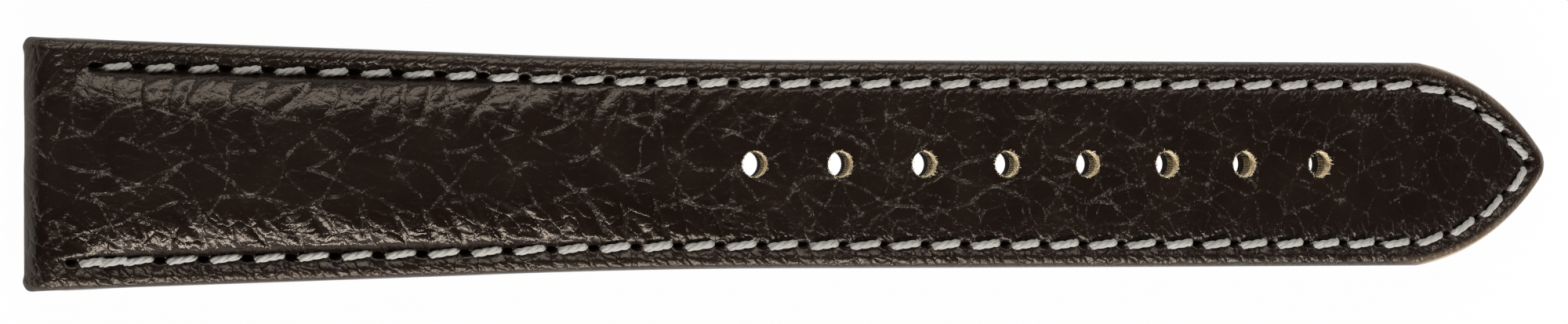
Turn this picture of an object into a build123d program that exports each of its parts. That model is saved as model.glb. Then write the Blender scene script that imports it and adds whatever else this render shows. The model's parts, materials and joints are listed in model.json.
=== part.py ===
from build123d import *
from math import acos, atan2, copysign, cos, hypot, sin, sqrt
import os

os.makedirs("parts", exist_ok=True)

# The long half of a two-piece leather watch strap, in millimetres, lying in its natural curve.
# The origin is the middle of the spring-bar tunnel, +X runs to the point, +Y along the spring bar
# and +Z out of the grain face. A place is measured along the grain face from the lug end, and a
# level is measured out of the seam plane, where the lining meets everything above it.

# The half strap as a whole
strap_length = 131.3
lug_width = 20.0
tail_width = 16.4
set_radius = 217.0

# Sides: a flare at the roll, a straight taper, then an easy curve into the parallel tail
flare_end = 9.0
flare_drop = 0.75
flare_width = lug_width - flare_drop
ease_start = 35.0
ease_start_width = 17.46
ease_end = 62.0

# Point: two flank arcs that meet in a small round nose
point_length = 12.9
flank_radius = 20.0
nose_radius = 1.9

# Thickness of each layer
upper_wall = 0.9
roll_wall = 0.75
flap_wall = 0.4
board_wall = 0.8
tape_wall = 0.2
lining_wall = 0.9

# Turned edge of the upper, and its flap behind the spring bar
flap_end = 14.0
edge_round = 0.55
ramp_end = 6.5
flap_ramp_end = 6.0
ramp_round = 8.0

# Spring-bar tunnel and the strip that lines it
tunnel_radius = 1.0
loop_wall = 0.25

# Tongue holes, set out from the point
hole_count = 8
hole_radius = 1.05
hole_pitch = 7.15
last_hole_gap = 22.95
first_hole = strap_length - last_hole_gap - (hole_count - 1) * hole_pitch

# Crown that the padding gives to the grain face, which is flat again before the first tongue hole
crown_height = 2.0
crown_hole_gap = 1.3
crown_length = first_hole - crown_hole_gap
crown_foot_gap = 0.3
pad_side_wall = 0.45
pad_skive = 5.0
pad_end = crown_length - pad_skive
crown_place_shares = (0.02, 0.07, 0.15, 0.26, 0.40, 0.57, 0.74, 0.88, 1.0)
crown_rise_shares = (0.25, 0.66, 0.88, 1.0, 0.95, 0.74, 0.44, 0.17, -0.08)
crown_side_shares = (1.0, 0.93, 0.76, 0.45, 0.0)
crown_side_rise_shares = (0.0, 0.38, 0.73, 0.94, 1.0)

# Reinforcement tape
tape_width = 7.0
tape_start = 16.0
tape_hole_gap = 4.3
tape_end = first_hole - tape_hole_gap

# Lining
lining_start = 3.0
lining_inset = 0.3

# Seam: a lockstitch through the folded edge and the lining, whose two threads lock between them
seam_inset = 1.8
seam_lug_inset = 2.15
stitch_pitch = 3.45
seam_start_far = 5.6
seam_start_near = 3.75
channel_width = 0.9
channel_depth = 0.2
hole_mouth = 1.14
hole_waist = 0.16
hole_width = 0.7

# Thread
thread_width = 0.66
thread_height = 0.54
lock_width = 0.4
lock_height = 0.24
bend_length = 0.55
stitch_slant = 0.08
thread_clearance = 0.02
thread_section_shares = ((1, 0), (0, 1), (-1, 0), (0, -1))

# Length that every cut runs past the work
overrun = 12.0

# Levels of the layers
board_level = tape_wall + board_wall
border_level = board_level + upper_wall

# Spring-bar tunnel, with the roll's underside flush with the lining's
loop_radius = tunnel_radius + loop_wall
roll_radius = loop_radius + roll_wall
tunnel_place = roll_radius
tunnel_level = roll_radius - lining_wall


def radius_at(level):
    return set_radius - border_level + level


def standing_turn():
    """Turn from the lug end to the crest at which the roll and the point both touch a flat surface."""
    tip_turn = (strap_length - lining_inset) / set_radius
    tunnel_turn = tunnel_place / set_radius
    rise = radius_at(tunnel_level) * cos(tunnel_turn) - radius_at(-lining_wall) * cos(tip_turn)
    run = radius_at(tunnel_level) * sin(tunnel_turn) - radius_at(-lining_wall) * sin(tip_turn)
    return atan2(run, rise) + acos(roll_radius / hypot(rise, run))


crest_turn = standing_turn()


def turn_at(place):
    return place / set_radius - crest_turn


centre_x = -radius_at(tunnel_level) * sin(turn_at(tunnel_place))
centre_z = -radius_at(tunnel_level) * cos(turn_at(tunnel_place))


def bent(place, side, level):
    """The point of the curved strap at a place, a side and a level."""
    turn = turn_at(place)
    radius = radius_at(level)
    return Vector(centre_x + radius * sin(turn), side, centre_z + radius * cos(turn))


def outward(place):
    return Vector(sin(turn_at(place)), 0, cos(turn_at(place)))


def forward(place):
    return Vector(cos(turn_at(place)), 0, -sin(turn_at(place)))


def half_width(place):
    """Half the width of the strap, up to the point's shoulder."""
    if place <= flare_end:
        return (lug_width + place / flare_end * (flare_width - lug_width)) / 2
    if place <= ease_start:
        share = (place - flare_end) / (ease_start - flare_end)
        return (flare_width + share * (ease_start_width - flare_width)) / 2
    if place <= ease_end:
        share = (ease_end - place) / (ease_end - ease_start)
        return (tail_width + share**2 * (ease_start_width - tail_width)) / 2
    return tail_width / 2


def lug_share(place):
    """How near a place is to the lug end: 1 there, and nothing from where the sides start to ease."""
    return max(0, 1 - place / ease_start)


def seam_inset_at(place):
    return seam_inset + (seam_lug_inset - seam_inset) * lug_share(place)


shoulder_place = strap_length - point_length
point_middle = shoulder_place + point_length / 2


def flank_centre():
    """Centre of a flank arc: through the shoulder and tangent to the nose. The first value is a place."""
    nose_place = point_length - nose_radius
    gap = hypot(nose_place, tail_width / 2)
    inner_radius = flank_radius - nose_radius
    along = (flank_radius**2 - inner_radius**2 + gap**2) / (2 * gap)
    off = sqrt(flank_radius**2 - along**2)
    x = (along * nose_place - off * tail_width / 2) / gap
    y = tail_width / 2 - (along * tail_width / 2 + off * nose_place) / gap
    return shoulder_place + x, y


flank_place, flank_side = flank_centre()


def flank_at(side, inset):
    """The place where a flank, moved in by the inset, passes a side."""
    return flank_place + sqrt((flank_radius - inset) ** 2 - (side - flank_side) ** 2)


def side_edges(inset, hand, drift):
    """One side of the plan outline, lug end first, which drifts further in towards the lug end."""
    places = (-overrun, flare_end, ease_start, (ease_start + ease_end) / 2, ease_end)
    sides = [half_width(place) - inset - drift * lug_share(place) for place in places]
    points = [(bent(place, 0, border_level).X, hand * side) for place, side in zip(places, sides)]
    far = (bent(strap_length, 0, border_level).X + overrun, points[-1][1])
    runs = [Line(points[0], points[1]), Line(points[1], points[2])]
    return runs + [ThreePointArc(*points[2:]), Line(points[-1], far)]


def side_prism(inset, drift):
    """Everything between the strap's two sides, moved in by the inset."""
    upper = side_edges(inset, 1, drift)
    lower = side_edges(inset, -1, drift)
    ends = [Line(upper[0] @ 0, lower[0] @ 0), Line(upper[-1] @ 1, lower[-1] @ 1)]
    plan = make_face(upper + lower + ends)
    return extrude(plan, amount=lug_width, both=True)


def point_waste(inset):
    """What is cut away round the point, whose outline is moved in by the inset."""
    shoulder_side = tail_width / 2 - inset
    shoulder = (flank_at(shoulder_side, inset) - point_middle, shoulder_side)
    nose = nose_radius - inset
    far = strap_length + overrun - point_middle
    if nose > 0:
        toward = atan2(-flank_side, strap_length - nose_radius - flank_place)
        join_side = nose * sin(toward)
        tip = (strap_length - inset - point_middle, 0)
    else:
        join_side = 0
        tip = (flank_at(0, inset) - point_middle, 0)
    middle_side = (shoulder_side + join_side) / 2
    middle = (flank_at(middle_side, inset) - point_middle, middle_side)
    join = (flank_at(join_side, inset) - point_middle, join_side)
    edges = []
    for hand in (1, -1):
        start = (shoulder[0], hand * shoulder[1])
        outer = (shoulder[0], hand * lug_width)
        edges.append(Line(outer, start))
        edges.append(ThreePointArc(start, (middle[0], hand * middle[1]), (join[0], hand * join[1])))
        edges.append(Line(outer, (far, hand * lug_width)))
    if nose > 0:
        edges.append(ThreePointArc(join, tip, (join[0], -join[1])))
    edges.append(Line((far, lug_width), (far, -lug_width)))
    frame = Plane(
        origin=bent(point_middle, 0, border_level),
        x_dir=forward(point_middle),
        z_dir=outward(point_middle),
    )
    return extrude(frame * make_face(edges), amount=overrun, both=True)


def sheet_arc(start, end, level):
    middle = (start + end) / 2
    return ThreePointArc(bent(start, 0, level), bent(middle, 0, level), bent(end, 0, level))


def sheet(start, end, low, high):
    """A layer of the curved strap between two places and two levels, wider than the strap."""
    top = sheet_arc(start, end, high)
    bottom = sheet_arc(start, end, low)
    profile = make_face([top, bottom, Line(top @ 0, bottom @ 0), Line(top @ 1, bottom @ 1)])
    return extrude(profile, amount=lug_width, both=True)


def tangent_point(point, radius, hand):
    """Where a line from the point touches a circle about the spring bar, over it or under it."""
    turn = atan2(point.Z, point.X) + hand * acos(radius / hypot(point.X, point.Z))
    return Vector(radius * cos(turn), 0, radius * sin(turn))


def rolled_sheet(radius, top_level, under_level):
    """A layer whose lug end is rolled round the spring bar at the given radius."""
    top = sheet_arc(ramp_end, strap_length + overrun, top_level)
    under = sheet_arc(flap_ramp_end, strap_length + overrun, under_level)
    over = tangent_point(top @ 0, radius, 1)
    below = tangent_point(under @ 0, radius, -1)
    roll = ThreePointArc(over, (-radius, 0, 0), below)
    ramps = [Line(over, top @ 0), Line(below, under @ 0)]
    profile = make_face([roll, top, under, Line(top @ 1, under @ 1)] + ramps)
    bends = [corner for corner in profile.vertices() if Vector(corner) in (top @ 0, under @ 0)]
    return extrude(fillet(bends, ramp_round), amount=lug_width, both=True)


def trimmed(body, inset, drift=0):
    """The body cut to the strap's outline, moved in by the inset."""
    return (body & side_prism(inset, drift)) - point_waste(inset)


def is_straight(edge, direction):
    return edge.geom_type == GeomType.LINE and abs((edge % 0.5).dot(direction)) > 0.9


def rim_edges(body):
    """The edges all round the outline, where the upper turns over the side."""
    outline = [edge for edge in body.edges() if not is_straight(edge, Vector(0, 1, 0))]
    return [edge for edge in outline if not is_straight(edge, Vector(0, 0, 1))]


def crown(base_level, foot_inset):
    """The long crowned mound that the padding makes, rising out of the given level."""
    sections = []
    for place_share, rise_share in zip(crown_place_shares, crown_rise_shares):
        place = place_share * crown_length
        foot = half_width(place) - seam_inset_at(place) - foot_inset
        rise = rise_share * crown_height
        sides = [(share * foot, up * rise) for share, up in zip(crown_side_shares, crown_side_rise_shares)]
        left = [(-side, up) for side, up in sides[:-1]]
        top = Spline(*left, *sides[::-1])
        sink = -upper_wall / 2
        base = Polyline((-foot, 0), (-foot, sink), (foot, sink), (foot, 0))
        frame = Plane(origin=bent(place, 0, base_level), x_dir=(0, 1, 0), z_dir=forward(place))
        sections.append(frame * make_face([top, *base.edges()]))
    return loft(sections)


def bar_ring(radius):
    return extrude(Plane.XZ * Circle(radius), amount=lug_width / 2, both=True)


def seam_flat(hand, start):
    """The seam on one side, laid flat, from its first hole to the point."""
    middle = (ease_start + ease_end) / 2
    tail_side = tail_width / 2 - seam_inset
    flank_start = flank_at(tail_side, seam_inset)
    flank_middle = flank_at(tail_side / 2, seam_inset)
    places = (start, flare_end, ease_start, middle, ease_end)
    points = [(place, half_width(place) - seam_inset_at(place)) for place in places]
    edges = [
        Line(points[0], points[1]),
        Line(points[1], points[2]),
        ThreePointArc(*points[2:]),
        Line(points[-1], (flank_start, tail_side)),
        ThreePointArc(
            (flank_start, tail_side), (flank_middle, tail_side / 2), (flank_at(0, seam_inset), 0)
        ),
    ]
    if hand < 0:
        edges = [mirror(edge, about=Plane.XZ) for edge in edges]
    return Wire([edge for part in edges for edge in part.edges()])


def seam_holes(hand, start):
    """Evenly spaced holes of one side, each a place and a side."""
    path = seam_flat(hand, start)
    count = round(path.length / stitch_pitch)
    points = [path.position_at(i / count) for i in range(count + 1)]
    return [(point.X, point.Y) for point in points]


far_side_holes = seam_holes(1, seam_start_far)
near_side_holes = seam_holes(-1, seam_start_near)
needle_holes = far_side_holes + near_side_holes[-2::-1]


def grain_level(place):
    """Level of the grain face along the seam, which ramps down from the roll."""
    slope = (tunnel_level + roll_radius - border_level) / (ramp_end - tunnel_place)
    reach = max(0, ramp_round * slope / 2 - abs(place - ramp_end))
    return border_level + slope * max(0, ramp_end - place) + reach**2 / (2 * ramp_round)


def skin_level(place):
    """Level of the lining's outer face."""
    return -lining_wall


def pressed_channel(layer):
    """The channel that the tight thread presses into a layer along both sides and round the point."""
    half = channel_width / 2
    drift = seam_lug_inset - seam_inset
    return trimmed(layer, seam_inset - half, drift) - trimmed(layer, seam_inset + half, drift)


def top_channel():
    """The channel of the grain face, which starts at the first hole of each side."""
    core = rolled_sheet(roll_radius - channel_depth, border_level - channel_depth, 0)
    halves = []
    for hand, start in ((1, seam_start_far), (-1, seam_start_near)):
        first = start - hole_mouth / 2
        room = sheet(first, strap_length + overrun, board_level, border_level + crown_height)
        half = Pos(0, hand * lug_width, 0) * Box(4 * strap_length, 2 * lug_width, strap_length)
        halves.append(pressed_channel((room & half) - core))
    return halves


def heading(i):
    """Direction of the seam at hole i, as shares of forward and sideways."""
    before = needle_holes[max(i - 1, 0)]
    after = needle_holes[min(i + 1, len(needle_holes) - 1)]
    run = hypot(after[0] - before[0], after[1] - before[1])
    return (after[0] - before[0]) / run, (after[1] - before[1]) / run


def awl_cuts(face_level, away):
    """The needle's cuts in one layer, which the tight thread pulls wide at the face."""
    mouth = hole_mouth / 2
    waist = hole_waist / 2
    cuts = []
    for i, (place, side) in enumerate(needle_holes):
        along, across = heading(i)
        if place < shoulder_place:
            along, across = copysign(1, along), 0
        x_dir = forward(place) * along + Vector(0, across, 0)
        z_dir = x_dir.cross(outward(place))
        frame = Plane(origin=bent(place, side, 0), x_dir=x_dir, z_dir=z_dir)
        seat = face_level(place) - away * channel_depth
        tip = seat * waist / (waist - mouth)
        outline = Polyline((-2 * mouth, 2 * seat - tip), (0, tip), (2 * mouth, 2 * seat - tip), close=True)
        cuts.append(extrude(frame * make_face(outline), amount=hole_width / 2, both=True))
    return cuts


def tongue_cuts():
    cuts = []
    for i in range(hole_count):
        place = first_hole + i * hole_pitch
        frame = Plane(origin=bent(place, 0, 0), x_dir=(0, 1, 0), z_dir=outward(place))
        cuts.append(frame * Cylinder(hole_radius, overrun))
    return cuts


def thread_ring(place, side, level, run, half_across, half_thick):
    """Corners round the thread where it crosses a place and a side, square to its run."""
    out = outward(place)
    across = out.cross(forward(place) * run[0] + Vector(0, run[1], 0))
    centre = bent(place, side, level)
    return [centre + across * (u * half_across) + out * (v * half_thick) for u, v in thread_section_shares]


def skinned(rings):
    """A closed solid over rings of corners, which follow one another along a thread."""
    faces = [Face(Wire.make_polygon(ring, close=True)) for ring in (rings[0], rings[-1])]
    for near, far in zip(rings, rings[1:]):
        for i in range(len(near)):
            faces.append(Face(Wire.make_polygon((near[i - 1], near[i], far[i]), close=True)))
            faces.append(Face(Wire.make_polygon((near[i - 1], far[i], far[i - 1]), close=True)))
    return Solid(Shell(faces))


def thread(face_level, away):
    """One unbroken thread: over each stitch and down into each hole, where the other thread holds it."""
    half = thread_width / 2
    tall = thread_height / 2
    lock = lock_height / 2
    rings = []
    for i in range(len(needle_holes)):
        place, side = needle_holes[i]
        lock_level = away * (lock + thread_clearance)
        rings.append(thread_ring(place, side, lock_level, heading(i), lock_width / 2, lock))
        if i + 1 == len(needle_holes):
            break
        next_place, next_side = needle_holes[i + 1]
        length = hypot(next_place - place, next_side - side)
        run = ((next_place - place) / length, (next_side - side) / length)
        slant = stitch_slant if run[0] > 0 else -stitch_slant
        for travel, lean in ((bend_length, -slant), (length - bend_length, slant)):
            at_place = place + run[0] * travel - run[1] * lean
            at_side = side + run[1] * travel + run[0] * lean
            level = face_level(at_place) + away * (thread_clearance + tall - channel_depth)
            rings.append(thread_ring(at_place, at_side, level, run, half, tall))
    return skinned(rings)


# Bodies that the pieces are cut from
roll_ring = bar_ring(loop_radius)
tunnel = bar_ring(tunnel_radius)
envelope = trimmed(rolled_sheet(roll_radius, border_level, 0), 0)
envelope = fillet(rim_edges(envelope), edge_round)
punches = tongue_cuts()

# Bar loop: the strip round the tunnel
bar_loop = roll_ring - tunnel

# Tape: let into the underside of the board, short of the tongue holes
tape = sheet(tape_start, tape_end, 0, tape_wall) & Box(2 * strap_length, tape_width, 2 * strap_length)

# Board: it fills the fold of the upper, and lies over the flap behind the spring bar
board_inset = seam_inset + crown_foot_gap + pad_side_wall
drift = seam_lug_inset - seam_inset
filling = trimmed(rolled_sheet(loop_radius, board_level, flap_wall), board_inset, drift)
below_board = sheet(-overrun, strap_length + overrun, -overrun, board_level)
behind_flap = trimmed(sheet(flap_end, strap_length + overrun, 0, flap_wall), board_inset, drift)
board = (filling & below_board) + behind_flap - tape - roll_ring

# Padding: everything between the board and the crowned upper
pad_room = sheet(tunnel_place - tunnel_radius, pad_end, board_level, board_level + overrun)
padding = (filling - below_board) + (crown(board_level, crown_foot_gap + pad_side_wall) & pad_room)
padding = padding - roll_ring

# Upper: the crowned envelope, less its seam channel and all that it wraps
upper = envelope + crown(border_level, crown_foot_gap)
upper = upper - top_channel()
upper = upper - board - padding - tape - roll_ring

# Lining: skived away to nothing under the roll
lining = trimmed(sheet(lining_start, strap_length + overrun, -lining_wall, 0), lining_inset)
skin = sheet(lining_start, strap_length + overrun, -2 * lining_wall, channel_depth - lining_wall)
lining = lining - rolled_sheet(roll_radius, border_level, 0) - pressed_channel(skin)

upper = upper - awl_cuts(grain_level, 1) - punches
board = board - punches
lining = lining - awl_cuts(skin_level, -1) - punches
needle_thread = thread(grain_level, 1)
bobbin_thread = thread(skin_level, -1)

pieces = {
    "upper_leather": upper,
    "padding": padding,
    "core_board": board,
    "reinforcement_tape": tape,
    "bar_loop": bar_loop,
    "lining_leather": lining,
    "needle_thread": needle_thread,
    "bobbin_thread": bobbin_thread,
}
for name, piece in pieces.items():
    export_step(piece, f"parts/{name}.step")
    print(name, len(piece.solids()), round(piece.volume, 2))
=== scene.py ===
import json
from math import acos, atan2, cos, hypot, pi, radians, sin, sqrt

import bmesh
import bpy
import numpy as np
from mathutils import Matrix, Vector

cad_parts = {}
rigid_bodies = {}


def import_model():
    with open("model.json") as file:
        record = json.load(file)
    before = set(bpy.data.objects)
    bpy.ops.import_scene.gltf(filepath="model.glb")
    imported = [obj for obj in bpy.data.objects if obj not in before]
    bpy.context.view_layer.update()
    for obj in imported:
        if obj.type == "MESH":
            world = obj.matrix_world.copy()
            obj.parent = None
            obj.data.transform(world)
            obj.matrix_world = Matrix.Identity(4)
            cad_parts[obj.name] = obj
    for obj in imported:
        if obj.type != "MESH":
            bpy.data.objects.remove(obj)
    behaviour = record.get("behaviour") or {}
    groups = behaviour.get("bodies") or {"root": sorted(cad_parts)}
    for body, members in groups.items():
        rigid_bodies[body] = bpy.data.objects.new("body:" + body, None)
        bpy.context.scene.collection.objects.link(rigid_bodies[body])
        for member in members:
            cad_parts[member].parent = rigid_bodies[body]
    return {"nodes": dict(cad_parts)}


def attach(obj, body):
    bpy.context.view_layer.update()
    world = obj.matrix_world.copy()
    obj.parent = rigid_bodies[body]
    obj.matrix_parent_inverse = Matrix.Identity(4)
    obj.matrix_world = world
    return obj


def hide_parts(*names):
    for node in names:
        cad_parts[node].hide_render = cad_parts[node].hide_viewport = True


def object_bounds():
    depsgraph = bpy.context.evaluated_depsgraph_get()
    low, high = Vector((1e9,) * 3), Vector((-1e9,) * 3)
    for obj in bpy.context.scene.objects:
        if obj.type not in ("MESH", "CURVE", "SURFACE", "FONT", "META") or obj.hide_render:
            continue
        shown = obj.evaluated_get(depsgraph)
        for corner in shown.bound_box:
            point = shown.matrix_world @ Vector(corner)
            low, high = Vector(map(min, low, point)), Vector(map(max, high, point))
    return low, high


for stray in list(bpy.data.objects):
    bpy.data.objects.remove(stray)
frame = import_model()
cad_low, cad_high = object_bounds()


# Upper leather
# One piece of grained hide, skived and turned over both edges and the point, and rolled round the
# spring-bar tunnel at the lug end. A long pad under it lifts the middle into a crown between the
# seams, and the tight stitches draw it down into a valley inside a rounded edge bead.

mm = 0.001
strap_length, lug_width, tail_width, set_radius = 131.3, 20.0, 16.4, 217.0
flare_end, flare_width = 9.0, 19.25
ease_start, ease_start_width, ease_end = 35.0, 17.46, 62.0
point_length, flank_radius, nose_radius = 12.9, 20.0, 1.9
border_level, lining_wall, lining_inset = 1.9, 0.9, 0.3
roll_radius, tunnel_place, tunnel_level = 2.0, 2.0, 1.1
ramp_end, flap_ramp_end, ramp_round = 6.5, 6.0, 8.0
seam_inset, seam_lug_inset = 1.8, 2.15
edge_round = 0.55
tail_half = tail_width / 2
shoulder_place = strap_length - point_length


def radius_at(level):
    """Radius of the strap's curve at a level of its thickness; level 0 is the upper's under side."""
    return set_radius - border_level + level


def standing_turn():
    """Turn from the lug end to the crest, with the roll and the point both on a flat surface."""
    tip_turn = (strap_length - lining_inset) / set_radius
    tunnel_turn = tunnel_place / set_radius
    rise = radius_at(tunnel_level) * cos(tunnel_turn) - radius_at(-lining_wall) * cos(tip_turn)
    run = radius_at(tunnel_level) * sin(tunnel_turn) - radius_at(-lining_wall) * sin(tip_turn)
    return atan2(run, rise) + acos(roll_radius / hypot(rise, run))


crest_turn = standing_turn()
centre_x = -radius_at(tunnel_level) * sin(tunnel_place / set_radius - crest_turn)
centre_z = -radius_at(tunnel_level) * cos(tunnel_place / set_radius - crest_turn)


def bent(place, level):
    """World x and z, in millimetres, of a place along the curved strap at a level of its thickness."""
    turn = np.asarray(place) / set_radius - crest_turn
    return centre_x + radius_at(level) * np.sin(turn), centre_z + radius_at(level) * np.cos(turn)


def place_of(x, z):
    """The place along the strap of a world x and z in millimetres, as bent gives them."""
    return (np.arctan2(x - centre_x, z - centre_z) + crest_turn) * set_radius


def half_width(place):
    """Half the strap's width: a flare at the lug end, a taper, and an easing into the even tail."""
    place = np.asarray(place, float)
    flare = lug_width + place / flare_end * (flare_width - lug_width)
    tapered = (place - flare_end) / (ease_start - flare_end)
    taper = flare_width + tapered * (ease_start_width - flare_width)
    to_tail = (ease_end - place) / (ease_end - ease_start)
    ease = tail_width + to_tail**2 * (ease_start_width - tail_width)
    width = np.where(place < ease_start, taper, np.where(place < ease_end, ease, tail_width))
    return np.where(place < flare_end, flare, width) / 2


def seam_inset_at(place):
    """The seam's distance from the edge, a little larger at the lug end."""
    return seam_inset + (seam_lug_inset - seam_inset) * np.clip(1 - np.asarray(place) / ease_start, 0, 1)


def flank_centre():
    """Centre of a flank arc of the point: through the shoulder and tangent to the nose."""
    nose_place = point_length - nose_radius
    gap = hypot(nose_place, tail_half)
    inner = flank_radius - nose_radius
    along = (flank_radius**2 - inner**2 + gap**2) / (2 * gap)
    off = sqrt(flank_radius**2 - along**2)
    place = shoulder_place + (along * nose_place - off * tail_half) / gap
    return place, tail_half - (along * tail_half + off * nose_place) / gap


flank_place, flank_side = flank_centre()


def flank_at(side, inset):
    """Place on a flank arc of the point at a distance from the centre line, set in from the edge."""
    return flank_place + np.sqrt((flank_radius - inset) ** 2 - (side - flank_side) ** 2)


def plan_grid(insets, places, flank_rows, nose_rows):
    """Places, sides and depths of points in rows across the strap and columns at the given insets.

    The last inset is the centre line's, and round the point every column follows the outline."""
    insets = np.asarray(insets, float)
    even_inset, shift_start = 2.8, 100
    share = np.clip((insets - even_inset) / (tail_half - even_inset), 0, None)
    shoulder = flank_at(np.maximum(tail_half - insets, 0), insets)
    shift = np.clip((places - shift_start) / (shoulder_place - shift_start), 0, 1)
    place = places[:, None] + shift[:, None] * (shoulder - shoulder_place)
    half = half_width(place)
    side = np.where(insets <= even_inset, half - insets, (half - even_inset) * (1 - share))
    radius = flank_radius - insets
    nose = np.maximum(nose_radius - insets, 0)
    toward = atan2(-flank_side, strap_length - nose_radius - flank_place)
    start = np.arcsin((tail_half - insets - flank_side) / radius)
    end = np.arcsin(np.clip((nose * sin(toward) - flank_side) / radius, -1, 1))
    angle = start + np.linspace(0, 1, flank_rows + 1)[1:, None] * (end - start)
    tip = np.linspace(toward, 0, nose_rows + 1)[1:, None]
    flank_end = flank_place + radius * np.cos(end)
    nose_x = np.where(nose > 0, strap_length - nose_radius + nose * np.cos(tip), flank_end)
    point_depth = np.broadcast_to(insets, (flank_rows + nose_rows, len(insets)))
    depth = np.vstack([half - side, point_depth])
    place = np.vstack([place, flank_place + radius * np.cos(angle), nose_x])
    side = np.vstack([side, flank_side + radius * np.sin(angle), nose * np.sin(tip)])
    return place, np.maximum(side, 0), depth


def both_hands(table):
    """Columns from the far rim through the centre line to the near rim."""
    return np.concatenate([table, table[..., -2::-1]], -1)


def layer_grid(insets, places, flank_rows, nose_rows):
    """Places, sides and depths over a whole layer; sides are positive on the far hand."""
    table = plan_grid(insets, places, flank_rows, nose_rows)
    place, side, depth = (both_hands(values) for values in table)
    hands = np.concatenate([np.ones(len(insets)), -np.ones(len(insets) - 1)])
    return place, side * hands, depth


def lug_path(start_place, level, hand, end_place, counts):
    """The profile from the back of the roll, over it or under it, to a place on the sheet.

    It gives each point's x and z, and its normal's x and z. The counts are of the points round
    the roll, down the ramp, through the rounding at its foot, and along the sheet."""
    foot_x, foot_z = bent(start_place, level)
    turn = atan2(foot_z, foot_x) + hand * acos(roll_radius / hypot(foot_x, foot_z))
    touch_x, touch_z = roll_radius * cos(turn), roll_radius * sin(turn)
    turns = np.linspace(crest_turn + pi, turn % (2 * pi), counts[0])
    rounding = 1.05
    share = rounding / hypot(foot_x - touch_x, foot_z - touch_z)
    near_x, near_z = foot_x + (touch_x - foot_x) * share, foot_z + (touch_z - foot_z) * share
    far_x, far_z = bent(start_place + rounding, level)
    ramp = np.linspace(0, 1, counts[1] + 1)[1:]
    bend = np.linspace(0, 1, counts[2] + 1)[1:]
    flat = bent(np.linspace(start_place + rounding, end_place, counts[3] + 1)[1:], level)
    xs = [roll_radius * np.cos(turns), touch_x + (near_x - touch_x) * ramp]
    zs = [roll_radius * np.sin(turns), touch_z + (near_z - touch_z) * ramp]
    xs += [(1 - bend) ** 2 * near_x + 2 * bend * (1 - bend) * foot_x + bend**2 * far_x, flat[0]]
    zs += [(1 - bend) ** 2 * near_z + 2 * bend * (1 - bend) * foot_z + bend**2 * far_z, flat[1]]
    x, z = np.concatenate(xs), np.concatenate(zs)
    along_x, along_z = np.gradient(x), np.gradient(z)
    size = np.hypot(along_x, along_z)
    return x, z, -along_z / size * hand, along_x / size * hand


lug_counts = (18, 14, 6, 8)
lug_end = 9.0
over = lug_path(ramp_end, border_level, 1, lug_end, lug_counts)
under = lug_path(flap_ramp_end, 0.0, -1, lug_end, lug_counts)
row_spacing = 0.21
sheet_rows = round((shoulder_place - lug_end) / row_spacing)
sheet_places = np.linspace(lug_end, shoulder_place, sheet_rows + 1)[1:]
flank_rows, nose_rows = 64, 10

# The seam's needle holes, evenly spaced from each side's first hole to the one at the point
stitch_pitch = 3.45
seam_start = {1: 5.6, -1: 3.75}


def seam_path(hand):
    """Places and sides of one side's needle holes, from the lug end to the point."""
    places = np.linspace(seam_start[hand], flank_at(tail_half - seam_inset, seam_inset), 2000)
    sides = half_width(places) - seam_inset_at(places)
    radius = flank_radius - seam_inset
    first = np.arcsin((tail_half - seam_inset - flank_side) / radius)
    last = np.arcsin(-flank_side / radius)
    angles = np.linspace(first, last, 400)[1:]
    places = np.concatenate([places, flank_place + radius * np.cos(angles)])
    sides = np.concatenate([sides, flank_side + radius * np.sin(angles)])
    run = np.concatenate([[0], np.cumsum(np.hypot(np.diff(places), np.diff(sides)))])
    at = np.linspace(0, run[-1], round(run[-1] / stitch_pitch) + 1)
    return np.interp(at, run, places), hand * np.interp(at, run, sides)


far_holes, near_holes = seam_path(1), seam_path(-1)
hole_places = np.concatenate([far_holes[0], near_holes[0][-2::-1]])
hole_sides = np.concatenate([far_holes[1], near_holes[1][-2::-1]])
before = np.maximum(np.arange(len(hole_places)) - 1, 0)
after = np.minimum(np.arange(len(hole_places)) + 1, len(hole_places) - 1)
hole_run = np.stack([hole_places[after] - hole_places[before], hole_sides[after] - hole_sides[before]], 1)
hole_run /= np.linalg.norm(hole_run, axis=1)[:, None]


def grain_level(place):
    """Level of the grain face along the seam, which ramps down from the roll."""
    slope = (tunnel_level + roll_radius - border_level) / (ramp_end - tunnel_place)
    reach = np.maximum(0, ramp_round * slope / 2 - np.abs(place - ramp_end))
    return border_level + slope * np.maximum(0, ramp_end - place) + reach**2 / (2 * ramp_round)


def step(x, low, high):
    """0 where x is under low and 1 over high, or the other way where low is larger."""
    t = np.clip((x - low) / (high - low), 0, 1)
    return t * t * (3 - 2 * t)


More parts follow.
